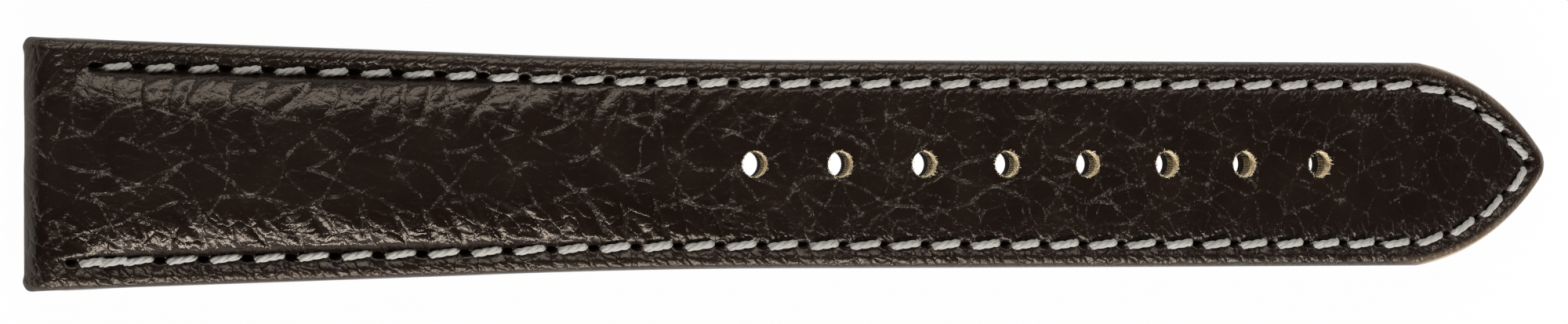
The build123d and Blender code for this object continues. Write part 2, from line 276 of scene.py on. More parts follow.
class Relief:
    """Height of a leather face over a grid of places and sides, with creases carved into it."""

    def __init__(self, place, side, depth, seed):
        self.place, self.side, self.depth = place, side, depth
        self.height = np.zeros_like(place)
        self.crease = np.zeros_like(place)
        self.random = np.random.default_rng(seed)

    def noise(self, along, across, seed):
        """Smooth noise from -1 to 1 with lumps of the given sizes."""
        lattice = np.random.default_rng(seed).uniform(-1, 1, (256, 256))
        u, v = self.place / along + 31.7, self.side / across + 57.3
        i, j = np.floor(u).astype(int), np.floor(v).astype(int)
        a, b = u - i, v - j
        a, b = a * a * (3 - 2 * a), b * b * (3 - 2 * b)
        i, j = i % 255, j % 255
        low = lattice[i, j] * (1 - a) + lattice[i + 1, j] * a
        high = lattice[i, j + 1] * (1 - a) + lattice[i + 1, j + 1] * a
        return low * (1 - b) + high * b

    def carve(self, points, width, deep):
        """A crease along the points, deepest in its middle and fading to its ends."""
        row_spread, clear_depth = 14, 0.07
        points = np.asarray(points, float)
        low, high = points.min(0) - 3 * width, points.max(0) + 3 * width
        edge = self.place[:, 0]
        rows = np.nonzero((edge > low[0] - row_spread) & (edge < high[0] + row_spread))[0]
        if not len(rows):
            return
        cut = slice(rows[0], rows[-1] + 1)
        near = (self.place[cut] > low[0]) & (self.place[cut] < high[0])
        near &= (self.side[cut] > low[1]) & (self.side[cut] < high[1])
        if not near.any():
            return
        spots = np.stack([self.place[cut][near], self.side[cut][near]], 1)
        starts, runs = points[:-1], points[1:] - points[:-1]
        t = np.einsum("nmk,mk->nm", spots[:, None] - starts, runs) / np.maximum((runs**2).sum(1), 1e-9)
        t = np.clip(t, 0, 1)
        gap = np.linalg.norm(spots[:, None] - (starts + t[..., None] * runs), axis=2)
        nearest = gap.argmin(1)
        take = np.arange(len(spots))
        along = (nearest + t[take, nearest]) / len(runs)
        fade = np.minimum(1, 3.2 * np.minimum(along, 1 - along) + 0.12)
        shape = np.exp(-((gap[take, nearest] / width) ** 2)) * fade
        self.height[cut][near] -= deep * shape
        self.crease[cut][near] = np.maximum(self.crease[cut][near], shape * min(1, deep / clear_depth))

    def wander(self, start, heading, length, bend, steps=7):
        """Points of a crease that sets out from a point and turns as it goes."""
        points = [np.array(start, float)]
        for _ in range(steps):
            heading += bend / steps + self.random.normal(0, 0.13)
            stride = np.array([cos(heading), sin(heading)]) * length / steps
            points.append(points[-1] + stride)
        return points

    def press_seam(self, deep, width, run_in):
        """The valley that the tight thread draws in, which starts at each side's first hole."""
        start = np.where(self.side > 0, seam_start[1], seam_start[-1])
        sewn = step(self.place, start - run_in, start)
        off = (self.depth - seam_inset_at(self.place)) / width
        self.height -= deep * np.exp(-(off**2)) * sewn

    def round_holes(self):
        """For each needle hole, the points near it and how far they lie along and across the seam."""
        for at_place, at_side, run in zip(hole_places, hole_sides, hole_run):
            near = (np.abs(self.place - at_place) < 2) & (np.abs(self.side - at_side) < 2)
            x, y = self.place[near] - at_place, self.side[near] - at_side
            yield near, x * run[0] + y * run[1], y * run[0] - x * run[1]


crown_height, crown_length, crown_foot_gap = 2.0, 57.0, 0.3
crown_side_power, crown_side_fall = 2.8, 0.6
crown_place_shares = (0.0, 0.02, 0.07, 0.15, 0.26, 0.40, 0.57, 0.74, 0.88, 1.0, 2.4)
crown_rise_shares = (0.0, 0.25, 0.66, 0.88, 1.0, 0.95, 0.74, 0.44, 0.17, 0.0, 0.0)


def smooth_between(x, xs, ys):
    """A smooth curve through the values, which never overshoots them."""
    xs, ys = np.asarray(xs, float), np.asarray(ys, float)
    slope = np.diff(ys) / np.diff(xs)
    tangent = np.zeros_like(ys)
    same = slope[:-1] * slope[1:] > 0
    tangent[1:-1][same] = 2 * slope[:-1][same] * slope[1:][same] / (slope[:-1][same] + slope[1:][same])
    i = np.clip(np.searchsorted(xs, x) - 1, 0, len(slope) - 1)
    width = xs[i + 1] - xs[i]
    t = np.clip((x - xs[i]) / width, 0, 1)
    near = (1 + 2 * t) * (1 - t) ** 2 * ys[i] + t * (1 - t) ** 2 * width * tangent[i]
    return near + t * t * (3 - 2 * t) * ys[i + 1] + t * t * (t - 1) * width * tangent[i + 1]


def crown_at(place, side):
    """How far the pad lifts the grain over its flat border."""
    rise = crown_height * smooth_between(place / crown_length, crown_place_shares, crown_rise_shares)
    foot = half_width(place) - seam_inset_at(place) - crown_foot_gap
    outness = np.minimum(np.abs(side) / foot, 1) ** crown_side_power
    return rise * np.maximum(1 - outness, 0) ** crown_side_fall


# Columns from the rim to the centre line: a quarter round, the bead, the seam and the open face
rim_turns = np.radians([0, 18, 36, 54, 72, 90])
rim_insets = edge_round * (1 - np.cos(rim_turns))
rim_sinks = edge_round * (1 - np.sin(rim_turns))
bead_insets, seam_insets = np.arange(0.7, 1.2, 0.155), np.arange(1.3, 2.79, 0.135)
open_insets = np.concatenate([bead_insets, seam_insets, np.linspace(2.9, tail_half, 28)])
insets = np.concatenate([rim_insets, open_insets])
sink = both_hands(np.concatenate([rim_sinks, np.zeros(len(open_insets))]))

over_place = place_of(over[0], over[1])
lug_rows = len(over_place)
all_places = np.concatenate([over_place, sheet_places])
place, side, depth = layer_grid(insets, all_places, flank_rows, nose_rows)
rows = len(place)
relief = Relief(place, side, depth, 11)

# The crown, blended into the leather's flat border and into the roll
base_level = np.full((rows, 1), border_level)
base_level[:lug_rows, 0] = grain_level(over_place)
base_level[:lug_counts[0]] = tunnel_level + roll_radius
crown = crown_at(place, side)
crown_top = border_level + crown - base_level
blend_reach, blend_depth = 0.35, -2
raised = (crown_top + np.sqrt(crown_top**2 + blend_reach**2 * (crown_top > blend_depth))) / 2
raised = np.where(crown > 0, raised, 0) * step(place, 0.6, 2.6)
relief.height += np.where(place > ramp_end + 2, np.maximum(crown_top, 0), raised)

# The seam's valley and the bead outside it
bead_rise, bead_inset, bead_width = 0.12, 0.8, 0.36
rim_fall, rim_width = 0.03, 0.5
relief.press_seam(deep=0.3, width=0.46, run_in=1.6)
bead = bead_rise * np.exp(-(((depth - bead_inset) / bead_width) ** 2))
relief.height += bead - rim_fall * np.exp(-((depth / rim_width) ** 2))

# Each needle hole has a dimple, and a lip that the thread pulls up on the outer side
mouth_length, mouth_width, mouth_depth = 0.36, 0.2, 0.5
lip_stretch, lip_radius, lip_width, lip_rise, outer_lip_rise = 1.3, 0.44, 0.13, 0.05, 0.11
pit = np.zeros_like(place)
for near, along, across in relief.round_holes():
    hole = np.exp(-((along / mouth_length) ** 4) - (across / mouth_width) ** 2)
    ring = np.hypot(along / lip_stretch, across)
    lip = (lip_rise + outer_lip_rise * (across > 0)) * np.exp(-(((ring - lip_radius) / lip_width) ** 2))
    relief.height[near] += lip - mouth_depth * hole
    pit[near] = np.maximum(pit[near], hole)


def lobe_gaps(along, across, size, seed):
    """Distance from each point to the nearest border of uneven cells, in millimetres."""
    u, v = along / size, across / size
    i, j = np.floor(u).astype(int), np.floor(v).astype(int)
    seeds = np.random.default_rng(seed).uniform(0.1, 0.9, (256, 256, 2))
    first, second = np.full(u.shape, 9.0), np.full(u.shape, 9.0)
    for a in (-1, 0, 1):
        for b in (-1, 0, 1):
            spot = seeds[(i + a) % 256, (j + b) % 256]
            gap = np.hypot(i + a + spot[..., 0] - u, j + b + spot[..., 1] - v)
            second = np.minimum(second, np.maximum(first, gap))
            first = np.minimum(first, gap)
    return (second - first) * 0.6 * size


# The padded flanks puff up in lobes, between creases that lean back to the lug end as they go in
lobe_size, lobe_rise, lobe_stretch, other_side = 2.6, 0.34, 0.3, 60
lobe_lean = 0.5 + 0.4 * relief.noise(8.0, 40.0, 12)
lobe_place = place + lobe_lean * depth + 0.5 * relief.noise(2.2, 2.2, 13)
lobe_gap = lobe_gaps(lobe_place, depth * lobe_stretch + other_side * (side < 0), lobe_size, 14)
flank = step(depth, 2.0, 2.9) * step(depth, 7.5, 4.0) * step(place, 66, 50) * step(place, 1.0, 4.0)
relief.height += lobe_rise * (0.62 - np.exp(-2.6 * lobe_gap)) * flank

# Creases that run in from the seams over the padded part, some of them forked
padded_end, forked_share = 62, 0.4
random = relief.random
for hand in (1, -1):
    at = 3.0
    while at < padded_end:
        start_inset = float(seam_inset_at(at)) + random.uniform(0.3, 0.9)
        start = (at, hand * (float(half_width(at)) - start_inset))
        lean = random.uniform(0.1, 0.85)
        length = random.choice([1.6, 2.6, 3.8, 5.2]) * random.uniform(0.8, 1.25)
        trail = relief.wander(start, -hand * (pi / 2 + lean), length, -hand * random.uniform(-0.1, 0.8))
        wide = random.uniform(0.17, 0.27)
        relief.carve(trail, wide, random.uniform(0.28, 0.5) * wide)
        if random.random() < forked_share:
            heading = -hand * (pi / 2 - random.uniform(0.3, 1.0))
            relief.carve(relief.wander(trail[3], heading, length * 0.6, 0.3), wide * 0.75, 0.28 * wide)
        at += random.uniform(1.0, 3.0)

# Long fine creases that cross the middle both ways
long_crease_count, clear_of_edge = 150, 3.6
for _ in range(long_crease_count):
    at = random.uniform(1, 126)
    reach = float(half_width(min(at, shoulder_place))) - clear_of_edge
    start = (at, random.uniform(-reach, reach))
    heading = random.choice([0.3, -0.35, 0.62, -0.7]) + random.normal(0, 0.16)
    length = random.uniform(4, 11)
    trail = relief.wander(start, heading, length, random.normal(0, 0.4), 9)
    relief.carve(trail, random.uniform(0.14, 0.19), 0.028)

# Small wrinkles round the turned edges, deeper on the near one
wrinkled_end = 119
for hand, share in ((1, 0.45), (-1, 1)):
    at = 1.0
    while at < wrinkled_end:
        start = (at, hand * (float(half_width(at)) - random.uniform(0.15, 0.4)))
        heading = -hand * (pi / 2 + random.normal(0.2, 0.35))
        trail = relief.wander(start, heading, random.uniform(0.5, 1.2), 0.2, 4)
        relief.carve(trail, random.uniform(0.13, 0.2), random.uniform(0.04, 0.09) * share)
        at += random.uniform(0.7, 2.2)

# A plump corner at each side of the lug end, where the folded edges meet the roll
corner_place, corner_length, corner_inset, corner_width, corner_rise = 3.0, 1.1, 1.35, 0.75, 0.20
along, across = (place - corner_place) / corner_length, (depth - corner_inset) / corner_width
relief.height += corner_rise * np.exp(-(along**2) - across**2)

# The grain's pebbles, and the slow rise and fall of the hide
pebble_rise, hide_rise = 0.012, 0.035
relief.height += pebble_rise * relief.noise(0.9, 0.8, 3) * step(depth, 0.2, 0.9)
calmer_tail = 1 - 0.55 * step(place, 50, padded_end)
relief.height += hide_rise * relief.noise(3.4, 2.6, 4) * step(depth, 2.2, 3.4) * calmer_tail


def lay_out(place, side, lift, path, level):
    """World points, in metres, of a grid at a level: its first rows follow a path of their own."""
    turn = place / set_radius - crest_turn
    x, z = bent(place, level)
    nx, nz = np.sin(turn), np.cos(turn)
    if level < border_level:
        nx, nz = -nx, -nz
    for table, values in zip((x, z, nx, nz), path):
        table[:len(values)] = values[:, None]
    return np.stack([x + nx * lift, side, z + nz * lift], -1) * mm


top = lay_out(place, side, relief.height * step(depth, 0.0, 0.45) - sink, over, border_level)
under_places = np.concatenate([place_of(under[0], under[1]), sheet_places])
under_place, under_side, _ = layer_grid(insets, under_places, flank_rows, nose_rows)
bottom = lay_out(under_place, under_side, np.broadcast_to(-sink, under_place.shape), under, 0.0)
bottom[0] = top[0]


def grid_faces(index):
    """Quads between neighbouring rows and columns of a table of point numbers."""
    corners = (index[:-1, :-1], index[1:, :-1], index[1:, 1:], index[:-1, 1:])
    return np.stack([corner.ravel() for corner in corners], 1)


wall_shares = (0.25, 0.5, 0.75)


def close_sheet(face, back, rim, full_rows, bulge):
    """Points and faces of a closed layer from its shown face and its back, joined round the rim.

    Past its first rows, the hidden back has columns at its rims alone."""
    rows, columns = face.shape[:2]
    face_index = np.arange(rows * columns).reshape(rows, columns)
    back_index = face_index + rows * columns
    points, faces = [face.reshape(-1, 3), back.reshape(-1, 3)], [grid_faces(face_index)]
    for column, inner in ((0, 1), (-1, -2)):
        outward = face[:, column] - face[:, inner]
        outward[:, 2] = 0
        outward /= np.maximum(np.linalg.norm(outward, axis=1), 1e-9)[:, None]
        tables = [face_index[:, column]]
        for share in wall_shares:
            tables.append(sum(len(table) for table in points) + np.arange(rows))
            swell = bulge * mm * 4 * share * (1 - share)
            points.append(face[:, column] * (1 - share) + back[:, column] * share + outward * swell)
        faces.append(grid_faces(np.stack([*tables, back_index[:, column]], 1)))
    faces += [grid_faces(back_index[:full_rows]), grid_faces(back_index[full_rows - 1:, :rim])]
    faces.append(grid_faces(back_index[full_rows - 1:, -rim:]))
    faces = [list(face) for table in faces for face in table]
    left, right = back_index[full_rows:, rim - 1], back_index[full_rows:, -rim]
    faces += [[a, b, c, d] for a, b, c, d in zip(left[:-1], left[1:], right[1:], right[:-1])]
    row = back_index[full_rows - 1, rim - 1:columns - rim + 1]
    faces += [[left[0], row[i + 1], row[i]] for i in range(len(row) - 1)]
    faces.append([left[0], right[0], row[-1]])
    return np.concatenate(points), faces


def on_both(face, back, far_wall, near_wall):
    """Point values for a closed sheet's face, its back and the walls at its rims."""
    count = len(wall_shares)
    return np.concatenate([face.ravel(), back.ravel(), *[far_wall] * count, *[near_wall] * count])


def on_face(face, elsewhere, points):
    """Point values for a closed sheet's face, with one value for all its other points."""
    return np.concatenate([face.ravel(), np.full(len(points) - face.size, elsewhere)])


def placed(name, data):
    """A new object in the scene."""
    made = bpy.data.objects.new(name, data)
    bpy.context.scene.collection.objects.link(made)
    return made


def sheet_piece(name, points, faces, layers):
    """A closed sheet of the points, merged where columns and rows meet, with its point values."""
    mesh = bpy.data.meshes.new(name)
    mesh.from_pydata(points.tolist(), [], faces)
    for layer, values in layers.items():
        mesh.attributes.new(layer, "FLOAT", "POINT").data.foreach_set("value", values.astype(np.float32))
    work = bmesh.new()
    work.from_mesh(mesh)
    bmesh.ops.remove_doubles(work, verts=work.verts, dist=2e-6)
    bmesh.ops.dissolve_degenerate(work, dist=1e-7, edges=work.edges)
    bmesh.ops.recalc_face_normals(work, faces=work.faces)
    work.to_mesh(mesh)
    work.free()
    return placed(name, mesh)


# The grain's pattern runs on over the roll, so its places there are measured along the profile
points, faces = close_sheet(top, bottom, len(rim_insets), lug_rows + 1, 0.06)
path_run = np.concatenate([[0], np.cumsum(np.hypot(np.diff(over[0]), np.diff(over[1])))])
grain_run = place.copy()
grain_run[:lug_rows] = (path_run - path_run[-1])[:, None] + lug_end
upper = sheet_piece("upper_grain", points, faces, {
    "along": on_both(grain_run, grain_run, grain_run[:, 0], grain_run[:, 0]),
    "across": on_both(side, side + 3 * np.sign(side), side[:, 0] + 0.8, side[:, -1] - 0.8),
    "crease": on_face(relief.crease, 0.0, points),
    "pit": on_face(pit, 0.0, points),
    "lobe": on_face(lobe_gap, 9.0, points),
    "inset": on_face(depth, -1.0, points),
})


def cutter(name, radius, centre, axis, reach):
    """A closed round punch along an axis, all in millimetres."""
    work = bmesh.new()
    bmesh.ops.create_cone(work, cap_ends=True, segments=56, radius1=radius * mm, radius2=radius * mm,
                          depth=reach * mm)
    turn = Vector((0, 0, 1)).rotation_difference(Vector(axis)).to_matrix().to_4x4()
    turn.translation = Vector(centre) * mm
    work.transform(turn)
    mesh = bpy.data.meshes.new(name)
    work.to_mesh(mesh)
    work.free()
    return placed(name, mesh)


def solid_copy(node, name):
    """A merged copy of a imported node."""
    work = bmesh.new()
    work.from_mesh(frame["nodes"][node].data)
    bmesh.ops.remove_doubles(work, verts=work.verts, dist=1e-7)
    bmesh.ops.dissolve_degenerate(work, dist=1e-9, edges=work.edges)
    mesh = bpy.data.meshes.new(name)
    work.to_mesh(mesh)
    work.free()
    return placed(name, mesh)


def dress(piece, *finishes):
    """Gives a piece its finishes in place of any that it has."""
    piece.data.materials.clear()
    for finish in finishes:
        piece.data.materials.append(finish)


def evaluated_mesh(piece):
    """A plain mesh of a piece as its modifiers leave it."""
    bpy.context.view_layer.update()
    return bpy.data.meshes.new_from_object(piece.evaluated_get(bpy.context.evaluated_depsgraph_get()))


def cut_away(piece, tools, skin, raw):
    """Takes the tools' volume out of a piece with a smooth skin; the cut faces get the raw finish."""
    dress(piece, skin, raw)
    for tool in tools:
        dress(tool, raw)
        cut = piece.modifiers.new("cut", "BOOLEAN")
        cut.operation, cut.solver, cut.object = "DIFFERENCE", "MANIFOLD", tool
        cut.material_mode = "TRANSFER"
    done = evaluated_mesh(piece)
    piece.modifiers.clear()
    piece.data = done
    for tool in tools:
        bpy.data.objects.remove(tool)
    for polygon in done.polygons:
        polygon.use_smooth = polygon.material_index == 0


hole_count, hole_radius, hole_pitch, first_hole = 8, 1.05, 7.15, 58.3
middle_level, punch_reach = 0.5, 12


def tongue_punches():
    """The round punches for the buckle's tongue, square to the curved strap."""
    punches = []
    for i in range(hole_count):
        at = first_hole + i * hole_pitch
        x, z = bent(at, middle_level)
        turn = at / set_radius - crest_turn
        axis = (sin(turn), 0.0, cos(turn))
        punches.append(cutter(f"punch_{i}", hole_radius, (float(x), 0.0, float(z)), axis, punch_reach))
    return punches


class Finish:
    """A value in a material. Sums and products of values add the Math nodes that work them out."""

    def __init__(self, tree, socket=None):
        self.tree, self.socket = tree, socket

    def node(self, kind, inputs=(), output=0, **settings):
        """A node of a type, its settings first, then the values or links of its sockets."""
        made = self.tree.nodes.new(kind)
        for name, setting in settings.items():
            setattr(made, name, setting)
        for name, value in dict(inputs).items():
            if isinstance(value, Finish):
                self.tree.links.new(value.socket, made.inputs[name])
            else:
                made.inputs[name].default_value = value
        return Finish(self.tree, made.outputs[output])

    def maths(self, operation, *values):
        return self.node("ShaderNodeMath", enumerate(values), operation=operation)

    def vector_maths(self, operation, inputs):
        return self.node("ShaderNodeVectorMath", inputs, operation=operation)

    def __add__(self, other):
        return self.maths("ADD", self, other)

    def __sub__(self, other):
        return self.maths("SUBTRACT", self, other)

    def __rsub__(self, other):
        return self.maths("SUBTRACT", other, self)

    def __mul__(self, other):
        return self.maths("MULTIPLY", self, other)

    def __truediv__(self, other):
        return self.maths("DIVIDE", self, other)

    def __pow__(self, other):
        return self.maths("POWER", self, other)

    __radd__, __rmul__ = __add__, __mul__

    def between(self, low, high):
        """0 where the value is under low and 1 over high, or the other way where low is larger."""
        inputs = {"Value": self, "From Min": low, "From Max": high}
        return self.node("ShaderNodeMapRange", inputs, interpolation_type="SMOOTHSTEP")

    def over(self, first, second):
        """A colour from the first to the second as this value goes from 0 to 1."""
        inputs = {0: self, 6: (*first, 1) if isinstance(first, tuple) else first, 7: (*second, 1)}
        return self.node("ShaderNodeMix", inputs, output=2, data_type="RGBA")

    def attribute(self, name):
        return self.node("ShaderNodeAttribute", attribute_name=name, output=2)

    def spot(self):
        """The point's own place in the piece, in metres."""
        return self.node("ShaderNodeTexCoord", output=3)

    def noise(self, at, scale, detail):
        return self.node("ShaderNodeTexNoise", {"Vector": at, "Scale": scale, "Detail": detail})

    def bump(self, height, distance, strength=1.0):
        return self.node("ShaderNodeBump", {"Height": height, "Distance": distance, "Strength": strength})


def new_finish(name):
    """A new material, the start of its values, and its surface shader."""
    material = bpy.data.materials.new(name)
    material.use_nodes = True
    tree = material.node_tree
    return material, Finish(tree), tree.nodes["Principled BSDF"]


def connect(values, shader, **sockets):
    for name, value in sockets.items():
        socket = shader.inputs[name.replace("_", " ")]
        if isinstance(value, Finish):
            values.tree.links.new(value.socket, socket)
        else:
            socket.default_value = value


grain, values, shader = new_finish("grain_leather")
along, across = values.attribute("along"), values.attribute("across")
crease, pit_mask, inset_mm = values.attribute("crease"), values.attribute("pit"), values.attribute("inset")
flat = values.node("ShaderNodeCombineXYZ", {"X": along, "Y": across})


def soft_noise(scale, detail=3.0, seed=0.0, rough=0.5):
    """Cloudy noise over the hide laid flat, with lumps of about 1 / scale millimetres."""
    inputs = {"Vector": flat, "W": seed, "Scale": scale, "Detail": detail, "Roughness": rough}
    return values.node("ShaderNodeTexNoise", inputs, noise_dimensions="4D")


def pushed(at, scale, reach):
    """Coordinates moved about by noise, up to a reach in millimetres, so that lines waver."""
    wave = values.node("ShaderNodeTexNoise", {"Vector": flat, "Scale": scale, "Detail": 2.0}, output=1)
    wave = values.vector_maths("SUBTRACT", {0: wave, 1: (0.5, 0.5, 0.5)})
    wave = values.vector_maths("SCALE", {0: wave, "Scale": 2 * reach})
    return values.vector_maths("ADD", {0: at, 1: wave})


def crease_gap(at, size):
    """Distance, in millimetres of the coordinates, to the nearest border of irregular cells."""
    inputs = {"Vector": at, "Scale": 1 / size}
    return values.node("ShaderNodeTexVoronoi", inputs, feature="DISTANCE_TO_EDGE") * size


def seam_cells(stretch, other_side, push_scale, push_reach, size, sharpness):
    """Ridges that lean back as they run in from the seams, over cells of a size."""
    away = inset_mm * stretch + hand * other_side
    at = values.node("ShaderNodeCombineXYZ", {"X": along + 0.5 * inset_mm, "Y": away})
    gap = crease_gap(pushed(at, push_scale, push_reach), size)
    return 1 - values.maths("EXPONENT", gap * -sharpness)


def long_creases(way, spacing, seed):
    """Nearness to long creases that run one way over the hide, wavering and broken here and there."""
    waver = soft_noise(0.12, 2.0, seed) * 1.8
    steps = (along * sin(way) + across * cos(way)) / spacing + waver
    gap = values.maths("ABSOLUTE", values.maths("FRACT", steps) - 0.5) * spacing
    return gap.between(0.25, 0.0) * soft_noise(0.35, 3.0, seed + 5).between(0.36, 0.56)


# Fine wrinkles over the lobes of the padded flanks, sharpest along the near one
hand = across.maths("SIGN", across)
near_side = hand.between(0.0, -1.0)
flank = inset_mm.between(2.0, 2.9) * inset_mm.between(7.5, 4.0) * along.between(66, 50)
wrinkles = seam_cells(0.95, 90, 0.7, 0.5, 1.6, 5.0) * flank * (0.3 + 0.7 * near_side)

# The hide's net: long creases crossing both ways in the middle, and small cells between them
tail = along.between(52, 68)
lines = long_creases(0.36, 2.9, 1.0) + long_creases(-0.33, 3.0, 2.0)
lines = lines + (long_creases(0.95, 3.6, 3.0) + long_creases(-1.0, 3.9, 8.0)) * 0.8
lines = lines * inset_mm.between(2.4, 4.6) * (0.35 + 0.65 * soft_noise(0.9, 2.0, 4.0).between(0.35, 0.6))
lines = lines * (1 - 0.5 * along.between(74, 112))
cells = crease_gap(pushed(flat, 0.5, 0.5), 2.6).between(0.2, 0.0) * (0.15 + 0.35 * tail)
net = crease_gap(pushed(flat, 1.1, 0.35), 1.0).between(0.13, 0.0)
# lit: lobe edges by the flank creases, which the grain's colour lightens below as painted highlight
lit = values.attribute("lobe").between(0.26, 0.0) * flank * soft_noise(0.7, 2.0, 9.0).between(0.38, 0.56)
# Lines where the specks glint, both in the bump and as painted glints in the colour
glint_lines = (lines + cells * 0.8 + lit * 0.6).between(0.12, 0.8)
specks = soft_noise(4.6, 2.0, 6.0).between(0.54, 0.64) * glint_lines

# Puckers that run out from the seams, sharpest along the near seam of the tail
beside_seam = inset_mm.between(-0.2, 0.35) * inset_mm.between(4.4, 2.4) * (1 - 0.8 * flank)
puckers = seam_cells(0.45, 70, 1.2, 0.3, 0.95, 6.0) * beside_seam
fine = soft_noise(3.2, 4.0, 7.0, 0.6)
height = wrinkles * 0.07 - lines * 0.045 - cells * 0.03 - net * 0.012
height = height + puckers * (0.07 + 0.05 * near_side) + specks * 0.05 + fine * 0.035

# Colours of the grain, with painted highlight and glints on the creases, lighter rims, and painted shade in
# the needle holes' pits
rub = soft_noise(0.22, 5.0)
body = rub.between(0.3, 0.75).over((0.0074, 0.0030, 0.0018), (0.0112, 0.0052, 0.0033))
# Painted highlight: crease lines, carved creases, small cells and lobe edges are coloured a lighter brown
crease_sheen_marks = lines * 0.65 + crease * 0.35 + cells * 0.4 + lit * 0.6
body = crease_sheen_marks.between(0.0, 1.2).over(body, (0.031, 0.0225, 0.017))
# Painted glints: pale specks along the crease lines
body = (specks * 0.45).over(body, (0.20, 0.165, 0.135))
# Lighter brown near the rims: a trace of wear all along, and painted light of the bright backdrop round the
# point and on the roll
rim_wear_and_glow = inset_mm.between(1.0, 0.3) * inset_mm.between(-0.9, -0.1) * (0.08 + 0.92 * along.between(115, 121))
rim_wear_and_glow = values.maths("MAXIMUM", rim_wear_and_glow, along.between(0.1, -1.0) * 0.3)
body = (rim_wear_and_glow * (0.55 + 0.45 * rub.between(0.3, 0.6))).over(body, (0.15, 0.098, 0.062))
# Painted light: a pale tan band round the point's rim
tan_rim_glow = inset_mm.between(0.27, 0.17) * inset_mm.between(-0.5, -0.05) * along.between(117, 121)
body = tan_rim_glow.over(body, (0.50, 0.36, 0.23))
# Painted shade: the needle holes' pits are coloured near black
body = pit_mask.between(0.4, 0.9).over(body, (0.003, 0.0018, 0.0012))
gloss = 0.27 + 0.12 * rub - 0.05 * crease_sheen_marks - flank * (0.04 + 0.05 * near_side)
gloss = gloss + 0.3 * pit_mask + 0.3 * along.between(1.0, -0.6)
connect(values, shader, Base_Color=body, Roughness=gloss, Specular_IOR_Level=0.56,
        Specular_Tint=(1.0, 0.83, 0.68, 1), Normal=values.bump(height, 0.001))


def cut_finish(name, scale, pale_from, dark, pale, **sockets):
    """A rough cut face, whose fibres go from a dark to a pale colour."""
    material, values, shader = new_finish(name)
    fibre = values.noise(values.spot(), scale, 4.0)
    body = fibre.between(0.35, pale_from).over(dark, pale)
    connect(values, shader, Base_Color=body, Normal=values.bump(fibre, 0.0002, 0.8), **sockets)
    return material


raw_cut = cut_finish("cut_leather", 4200.0, 0.65, (0.62, 0.45, 0.23), (1.0, 0.90, 0.66), Roughness=0.85)
tunnel_cut = cutter("tunnel_cut", 1.25, (0, 0, 0), (0, 1, 0), 24)
wrapped = [solid_copy(node, node + "_copy") for node in ("core_board", "padding", "reinforcement_tape")]
cut_away(upper, [*tongue_punches(), tunnel_cut, *wrapped], grain, raw_cut)
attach(upper, "root")
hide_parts("upper_leather")


# Lining
# The skin-side leather: one flat smooth-grained piece glued and sewn under everything, skived to a
# feather edge where it meets the roll, with its own pressed channel for the lower thread.

lining_start, lining_round, feather, cut_edge_depth = 3.1, 0.22, 0.01, 0.36
lining_crease_count = 90
edge_insets = lining_inset + lining_round * (1 - np.cos(rim_turns))
edge_sinks = lining_round * (1 - np.sin(rim_turns))
bead_insets, seam_insets = np.arange(0.75, 1.2, 0.2), np.arange(1.3, 2.79, 0.165)
open_insets = np.concatenate([bead_insets, seam_insets, np.linspace(2.95, tail_half, 20)])
insets = np.concatenate([edge_insets, open_insets])
sink = both_hands(np.concatenate([edge_sinks, np.zeros(len(open_insets))]))
lining_places = np.linspace(lining_start, shoulder_place, 460)
place, side, depth = layer_grid(insets, lining_places, 52, 8)

skin = Relief(place, side, depth, 23)
skin.press_seam(deep=0.22, width=0.42, run_in=1.2)
mouth_length, mouth_width, mouth_depth = 0.5, 0.25, 0.5
for near, along, across in skin.round_holes():
    skin.height[near] -= mouth_depth * np.exp(-((along / mouth_length) ** 4) - (across / mouth_width) ** 2)
for _ in range(lining_crease_count):
    start = (skin.random.uniform(5, 122), skin.random.uniform(-6, 6))
    heading = pi / 2 + skin.random.normal(0, 0.25)
    trail = skin.wander(start, heading, skin.random.uniform(2, 7), 0.2)
    skin.carve(trail, 0.22, skin.random.uniform(0.015, 0.04))
skin.height += 0.02 * skin.noise(1.6, 1.3, 7)
outer = lay_out(place, side, skin.height - sink, (), -lining_wall)

# Its inner face lies along the upper's under side, as far as the roll's underside reaches
under_level = np.hypot(under[0] - centre_x, under[1] - centre_z) - radius_at(0)
under_at = place_of(under[0], under[1])
back_rows = 8
order = np.argsort(under_at[back_rows:]) + back_rows
inner_level = np.interp(place, under_at[order], under_level[order])
reach = radius_at(0) + np.maximum(inner_level, -lining_wall + feather)
turn = place / set_radius - crest_turn
inner = np.stack([centre_x + reach * np.sin(turn), side, centre_z + reach * np.cos(turn)], -1) * mm
inner[0] = outer[0]
points, faces = close_sheet(outer, inner, len(rim_turns), 2, 0.0)
lining = sheet_piece("lining_skin", points, faces, {
    "along": on_both(place, place, place[:, 0], place[:, 0]),
    "across": on_both(side, side, side[:, 0] + 0.5, side[:, -1] - 0.5),
    "crease": on_face(skin.crease, 0.0, points),
    "cut_edge": on_face((depth < cut_edge_depth) * 1.0, 1.0, points),
})

skin_leather, values, shader = new_finish("lining_leather")
along, across = values.attribute("along"), values.attribute("across")
flat = values.node("ShaderNodeCombineXYZ", {"X": along, "Y": across})
pores = values.node("ShaderNodeTexVoronoi", {"Vector": flat, "Scale": 2.6}, feature="F1")
fine, cloud = values.noise(flat, 5.0, 4.0), values.noise(flat, 0.22, 4.0)
body = cloud.between(0.3, 0.7).over((0.30, 0.165, 0.080), (0.38, 0.22, 0.115))
body = (values.attribute("crease") * 0.5).over(body, (0.22, 0.115, 0.055))
body = (pores.between(0.16, 0.05) * 0.5).over(body, (0.20, 0.10, 0.05))
body = (values.attribute("cut_edge") * 0.9).over(body, (0.055, 0.034, 0.022))
bump = values.bump(fine * 0.03 + pores.between(0.0, 0.2) * 0.02, 0.001)
connect(values, shader, Base_Color=body, Roughness=0.5 + 0.2 * cloud, Normal=bump)

